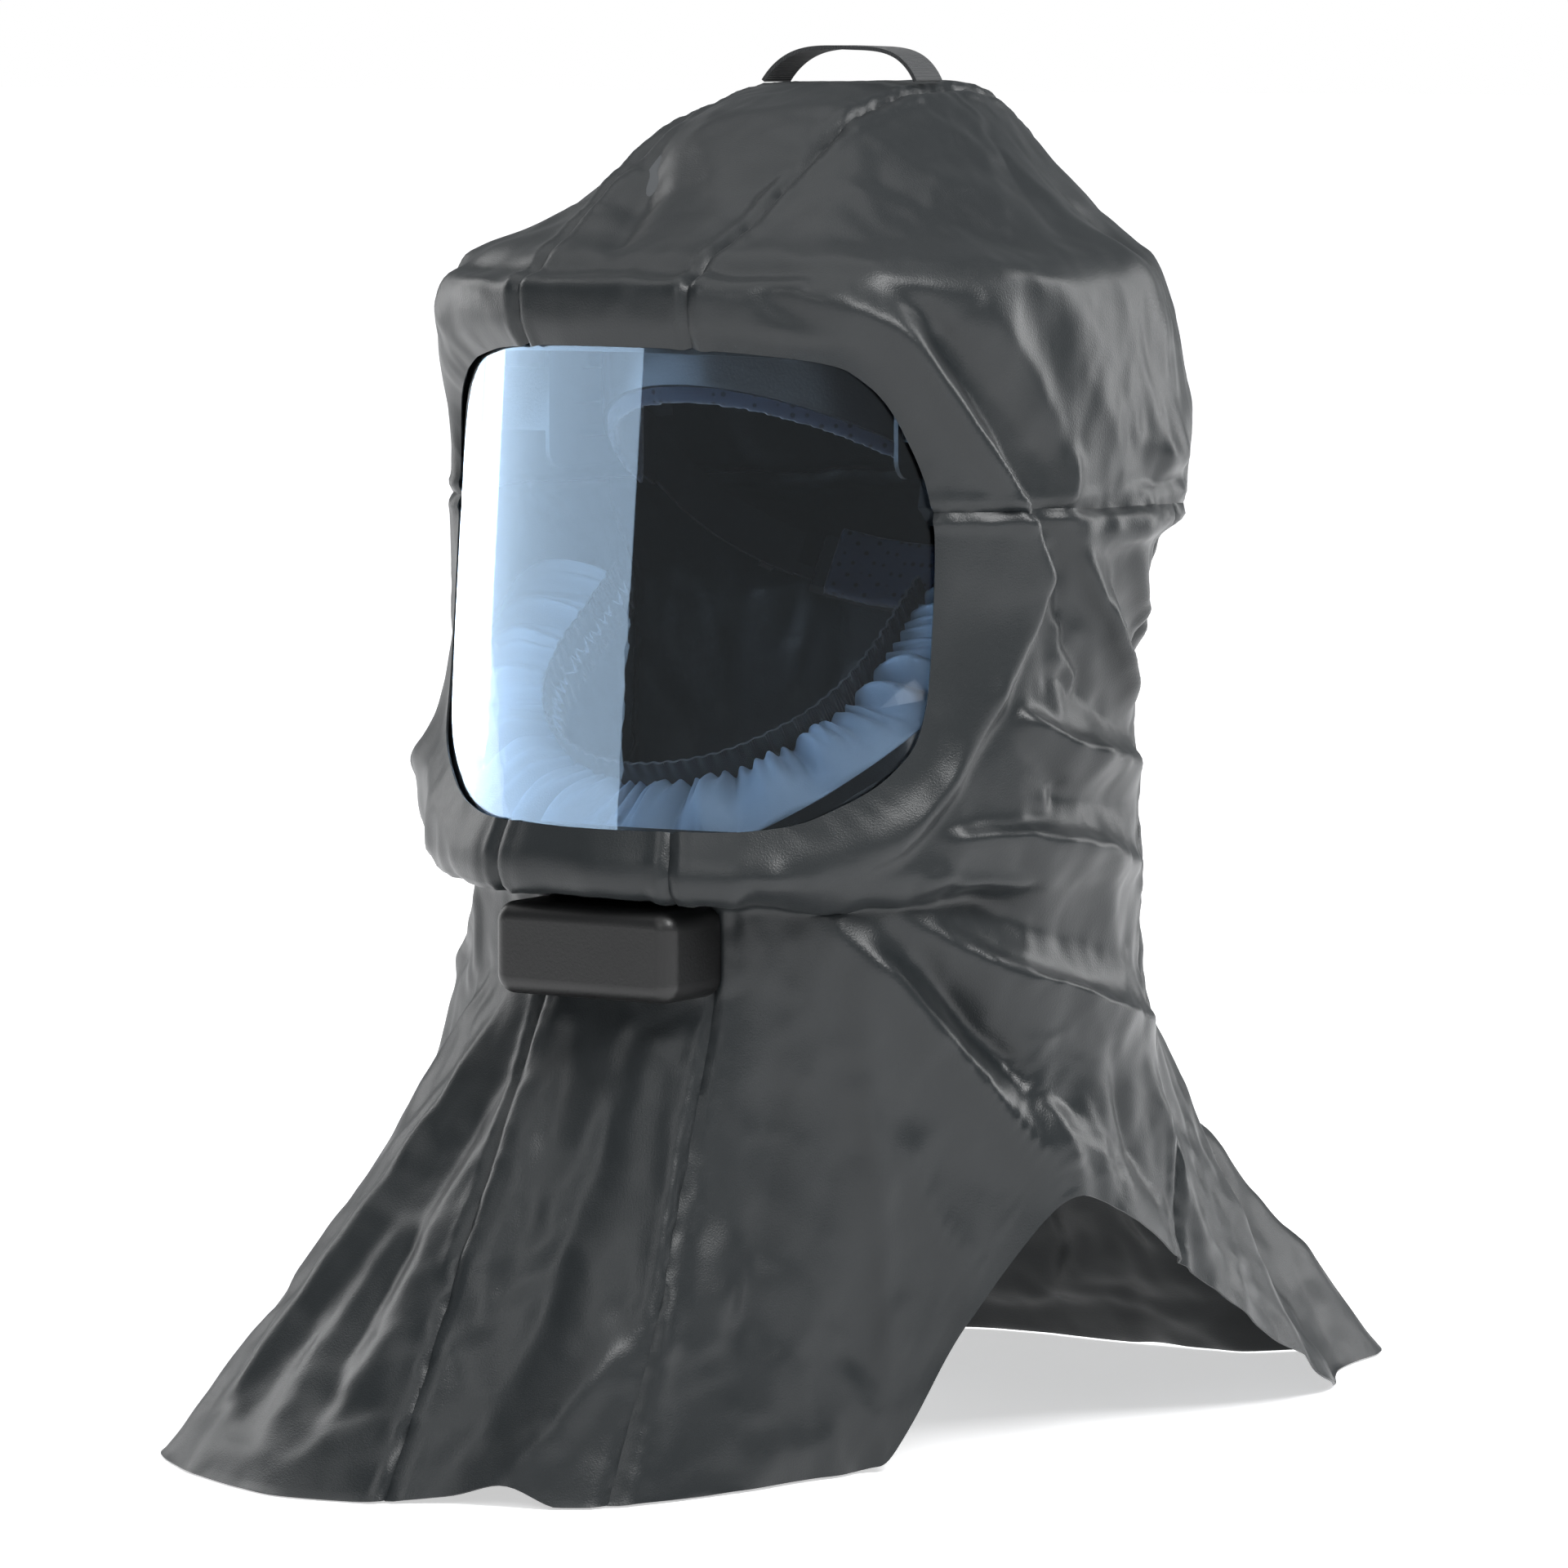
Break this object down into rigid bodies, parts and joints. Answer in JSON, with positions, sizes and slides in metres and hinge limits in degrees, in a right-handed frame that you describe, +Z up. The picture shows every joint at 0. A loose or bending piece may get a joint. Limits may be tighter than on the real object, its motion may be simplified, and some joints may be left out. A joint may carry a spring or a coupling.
{
  "type": "powered air respirator hood",
  "caption": "Long loose respirator hood with curved visor, head harness, over-head air duct, hose coupling and exhalation valve.",
  "frame": {"origin": "on the surface it stands on, at the middle of the footprint, under the middle of the head", "axes": "+Z up, -Y the way the wearer faces, +X the wearer's left"},
  "size_m": [0.345, 0.5615, 0.5676],
  "materials": {
    "hood_fabric": "satin coated cloth, charcoal",
    "webbing": "woven webbing, black",
    "lens": "clear polycarbonate, blue at the cut edge",
    "frame_plastic": "fine matt moulded, black",
    "seal_fabric": "thin coated cloth, pale blue-grey",
    "seal_elastic": "knitted elastic, black",
    "band_plastic": "flexible matt plastic, black",
    "sweatband": "perforated foam-backed cloth, dark navy",
    "knob_plastic": "ribbed matt plastic, black",
    "metal": "plain zinc-plated",
    "duct_plastic": "thin flexible plastic, dark grey",
    "coupling_plastic": "moulded, black",
    "button_plastic": "moulded, blue",
    "seal_rubber": "soft moulded rubber, black",
    "cover_plastic": "fine matt moulded, black"
  },
  "bodies": {
    "root": {"crown_panel": "hood_fabric", "hood_side_left": "hood_fabric", "hood_side_right": "hood_fabric", "skirt_left": "hood_fabric", "skirt_right": "hood_fabric", "cape_back": "hood_fabric", "bib_center": "hood_fabric", "visor_brim": "hood_fabric", "visor_sleeve_left": "hood_fabric", "visor_sleeve_right": "hood_fabric", "visor_sleeve_bottom": "hood_fabric", "hanging_loop": "webbing", "crown_strap_left": "webbing", "crown_strap_right": "webbing", "visor_lens": "lens", "visor_frame": "frame_plastic", "side_plate_left": "frame_plastic", "side_plate_right": "frame_plastic", "nape_cradle": "frame_plastic", "nape_cover": "frame_plastic", "crown_buckle": "frame_plastic", "face_seal": "seal_fabric", "face_seal_band": "seal_elastic", "headband": "band_plastic", "sweatband": "sweatband", "nape_pad": "sweatband", "band_rivets": "metal", "valve_screws": "metal", "air_duct": "duct_plastic", "duct_plenum": "duct_plastic", "air_nozzle": "duct_plastic", "hose_inlet": "coupling_plastic", "inlet_nut": "coupling_plastic", "inlet_gasket": "seal_rubber", "valve_seat": "cover_plastic", "valve_cover": "cover_plastic"},
    "knob": {"ratchet_knob": "knob_plastic", "ratchet_pinion": "knob_plastic", "knob_screw": "metal"},
    "tail_left": {"band_tail_left": "band_plastic"},
    "tail_right": {"band_tail_right": "band_plastic"},
    "coupling": {"hose_coupling": "coupling_plastic", "swivel_clip": "metal"},
    "button_left": {"latch_button_left": "button_plastic"},
    "button_right": {"latch_button_right": "button_plastic"},
    "flap": {"valve_flap": "seal_rubber"}
  },
  "joints": [
    {"name": "knob_turn", "type": "hinge", "parent": "root", "child": "knob", "pos_m": [0, 0.09498, 0.34065], "axis": [0, -0.848, 0.5299], "range_deg": [0, 150]},
    {"name": "tail_left_slide", "type": "hinge", "parent": "root", "child": "tail_left", "pos_m": [0, 0.02459, 0.38463], "axis": [0, 0.5299, 0.848], "range_deg": [0, 7.25]},
    {"name": "tail_right_slide", "type": "hinge", "parent": "root", "child": "tail_right", "pos_m": [0, 0.02459, 0.38463], "axis": [0, 0.5299, 0.848], "range_deg": [-7.25, 0]},
    {"name": "coupling_swivel", "type": "hinge", "parent": "root", "child": "coupling", "pos_m": [0, 0.158, 0.374], "axis": [0, 0.829, -0.5592], "continuous": true},
    {"name": "latch_left_press", "type": "slide", "parent": "coupling", "child": "button_left", "axis": [-1, 0, 0], "range_m": [0, 0.0014], "stiffness_N_per_m": 900},
    {"name": "latch_right_press", "type": "slide", "parent": "coupling", "child": "button_right", "axis": [1, 0, 0], "range_m": [0, 0.0014], "stiffness_N_per_m": 900},
    {"name": "flap_lift", "type": "slide", "parent": "root", "child": "flap", "axis": [0, -1, 0], "range_m": [0, 0.002], "stiffness_N_per_m": 12}
  ],
  "couplings": [
    {"joint": "tail_left_slide", "follows": "knob_turn", "ratio": 0.048193},
    {"joint": "tail_right_slide", "follows": "knob_turn", "ratio": -0.048193}
  ]
}
